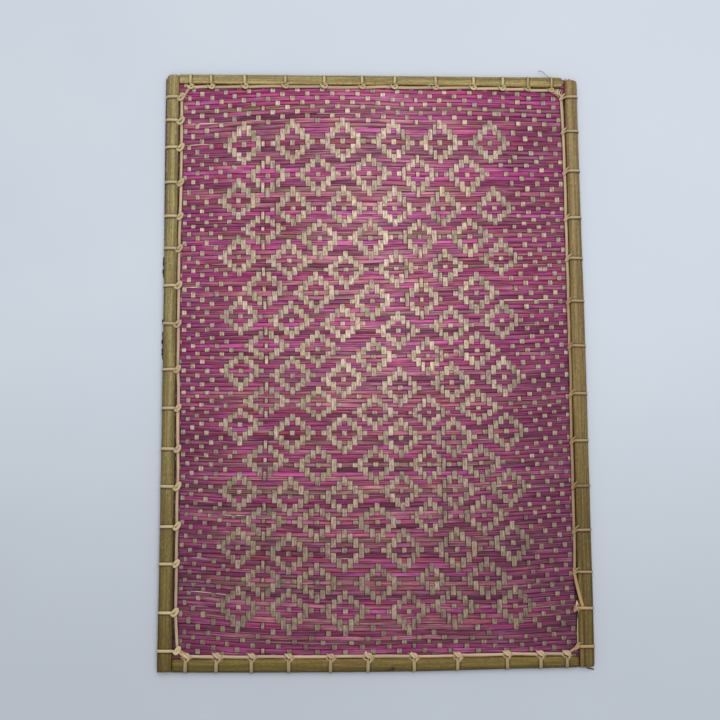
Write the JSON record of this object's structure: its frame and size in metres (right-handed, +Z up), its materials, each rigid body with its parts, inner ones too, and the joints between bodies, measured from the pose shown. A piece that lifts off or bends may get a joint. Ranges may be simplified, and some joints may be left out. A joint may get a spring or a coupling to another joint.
{
  "type": "woven bamboo placemat",
  "caption": "Rectangular placemat hand-woven from flat bamboo strips, edged with split-bamboo rails that a rattan strip lashes on.",
  "frame": {"origin": "middle of the mat's box, on the surface it lies on", "axes": "+X across the mat, +Y along its long side, +Z up, out of the side with the rails"},
  "size_m": [0.3074, 0.4344, 0.0067],
  "materials": {
    "weave": "dyed magenta and natural split bamboo, satin",
    "rail": "natural bamboo skin, satin",
    "rattan": "natural rattan strip, satin"
  },
  "bodies": {
    "root": {"panel": "weave", "rail_left": "rail", "rail_right": "rail", "rail_top": "rail", "rail_bottom": "rail", "lashing_left": "rattan", "lashing_right": "rattan", "lashing_top": "rattan", "lashing_bottom": "rattan"}
  },
  "joints": []
}
